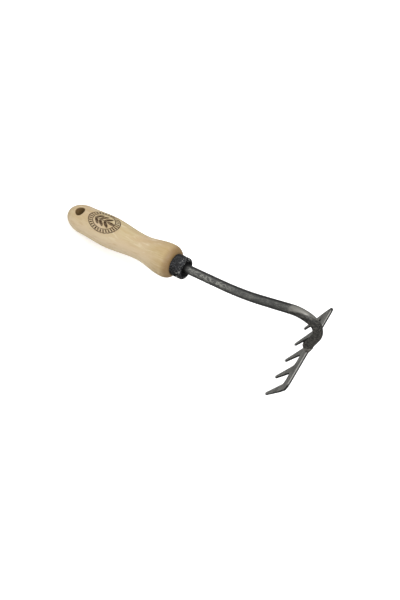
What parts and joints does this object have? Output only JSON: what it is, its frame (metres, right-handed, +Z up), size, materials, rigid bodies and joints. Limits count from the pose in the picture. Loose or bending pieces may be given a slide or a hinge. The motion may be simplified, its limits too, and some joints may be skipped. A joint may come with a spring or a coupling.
{
  "type": "hand rake",
  "caption": "Short-handled garden rake: turned wooden grip, black collar, gooseneck steel shank and a flat plate with a row of tapered tines.",
  "frame": {"origin": "on the ground, under the middle of the tool's overall box, as it stands on its tine tips and the butt of its handle", "axes": "+X from the butt of the handle towards the head, +Y across the tines, +Z up"},
  "size_m": [0.2576, 0.085, 0.1447],
  "materials": {
    "handle_wood": "pale close-grained hardwood, sanded and lightly oiled",
    "collar_black": "rough black coating, dull",
    "forged_steel": "dark grey forging scale, mottled, satin",
    "plate_steel": "dark grey scale with rubbed edges, satin",
    "weld_steel": "dark weld bead, dull"
  },
  "bodies": {
    "root": {"handle": "handle_wood", "collar": "collar_black", "shank": "forged_steel", "tine_plate": "plate_steel", "weld_bead": "weld_steel"}
  },
  "joints": []
}
